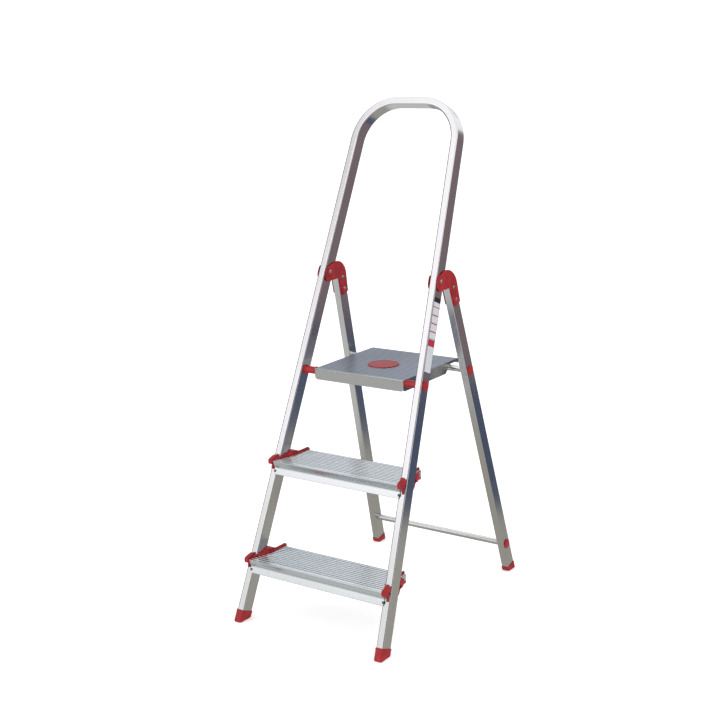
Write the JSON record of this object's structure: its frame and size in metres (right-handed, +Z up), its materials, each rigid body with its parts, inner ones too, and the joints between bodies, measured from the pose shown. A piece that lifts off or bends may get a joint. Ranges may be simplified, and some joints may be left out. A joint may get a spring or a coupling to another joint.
{
  "type": "step ladder",
  "caption": "Folding aluminium step ladder with wide ribbed treads, a fold-up standing platform, red plastic hinges and feet, and a bent hand rail loop.",
  "frame": {"origin": "on the floor, in the middle of the width and of the stance", "axes": "+Z up; the climber stands at -Y and faces +Y; +X to the climber's right"},
  "size_m": [0.459, 0.686, 1.3026],
  "materials": {
    "aluminium_rail": "bright drawn, faint lengthwise brushing",
    "tread_aluminium": "satin extruded, ribbed",
    "platform_sheet": "satin ribbed sheet",
    "red_plastic": "moulded, fine grain",
    "bright_steel": "zinc plated",
    "dark_steel": "blackened",
    "sticker": "printed film with blank panels"
  },
  "bodies": {
    "front_frame": {"rail_loop": "aluminium_rail", "front_foot_left": "red_plastic", "front_foot_right": "red_plastic", "lower_tread": "tread_aluminium", "upper_tread": "tread_aluminium", "lower_bracket_left": "red_plastic", "lower_bracket_right": "red_plastic", "upper_bracket_left": "red_plastic", "upper_bracket_right": "red_plastic", "fascia_screws": "bright_steel", "tread_rivets": "dark_steel", "pivot_rod": "bright_steel", "pivot_bushing_left": "red_plastic", "pivot_bushing_right": "red_plastic", "pivot_cap_left": "red_plastic", "pivot_cap_right": "red_plastic", "hinge_pins": "bright_steel", "rail_sticker": "sticker"},
    "rear_frame": {"rear_leg_left": "aluminium_rail", "rear_leg_right": "aluminium_rail", "rear_foot_left": "red_plastic", "rear_foot_right": "red_plastic", "hinge_plate_left_outer": "red_plastic", "hinge_plate_left_inner": "red_plastic", "hinge_plate_right_outer": "red_plastic", "hinge_plate_right_inner": "red_plastic", "hinge_rivets": "bright_steel", "lower_crossbar": "aluminium_rail", "upper_crossbar": "aluminium_rail", "lower_bar_cap_left": "red_plastic", "lower_bar_cap_right": "red_plastic", "upper_bar_cap_left": "red_plastic", "upper_bar_cap_right": "red_plastic"},
    "platform": {"platform_tray": "platform_sheet", "platform_badge": "red_plastic", "bar_hook_left": "red_plastic", "bar_hook_right": "red_plastic", "hook_rivets": "bright_steel"}
  },
  "joints": [
    {"name": "rear_frame_fold", "type": "hinge", "parent": "front_frame", "child": "rear_frame", "pos_m": [0, 0.03595, 0.86], "axis": [-1, 0, 0], "range_deg": [0, 36.5]},
    {"name": "platform_fold", "type": "hinge", "parent": "front_frame", "child": "platform", "pos_m": [0, -0.0647, 0.617], "axis": [1, 0, 0], "range_deg": [0, 67.5]}
  ],
  "couplings": [
    {"joint": "platform_fold", "follows": "rear_frame_fold", "ratio": 1.8}
  ]
}
